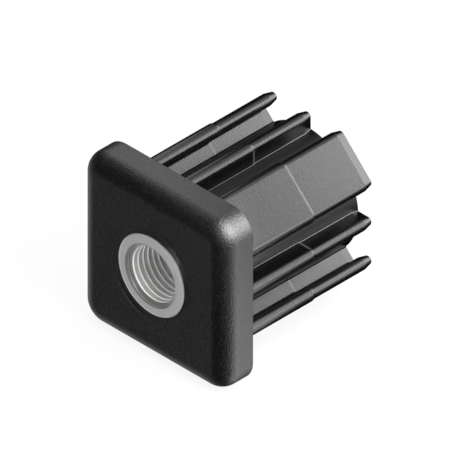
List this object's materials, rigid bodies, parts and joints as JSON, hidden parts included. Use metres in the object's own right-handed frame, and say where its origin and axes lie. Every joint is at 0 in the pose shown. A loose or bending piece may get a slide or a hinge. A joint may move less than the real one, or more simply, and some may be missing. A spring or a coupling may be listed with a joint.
{
  "type": "threaded tube insert",
  "caption": "Push-in insert for the end of a square tube: square head with a rounded edge, shank with fins and corner plates, and a moulded-in threaded bush.",
  "frame": {"origin": "on the thread axis, in the plane of the head's back face, where the tube's end sits", "axes": "-Y out of the front face along the thread, +Y along the shank into the tube, +X and +Z along the sides of the square"},
  "size_m": [0.03, 0.0324, 0.03],
  "materials": {
    "black_plastic": "fine satin grain, moulded",
    "plated_steel": "turned and nickel plated"
  },
  "bodies": {
    "root": {"plug_body": "black_plastic", "threaded_bush": "plated_steel"}
  },
  "joints": []
}
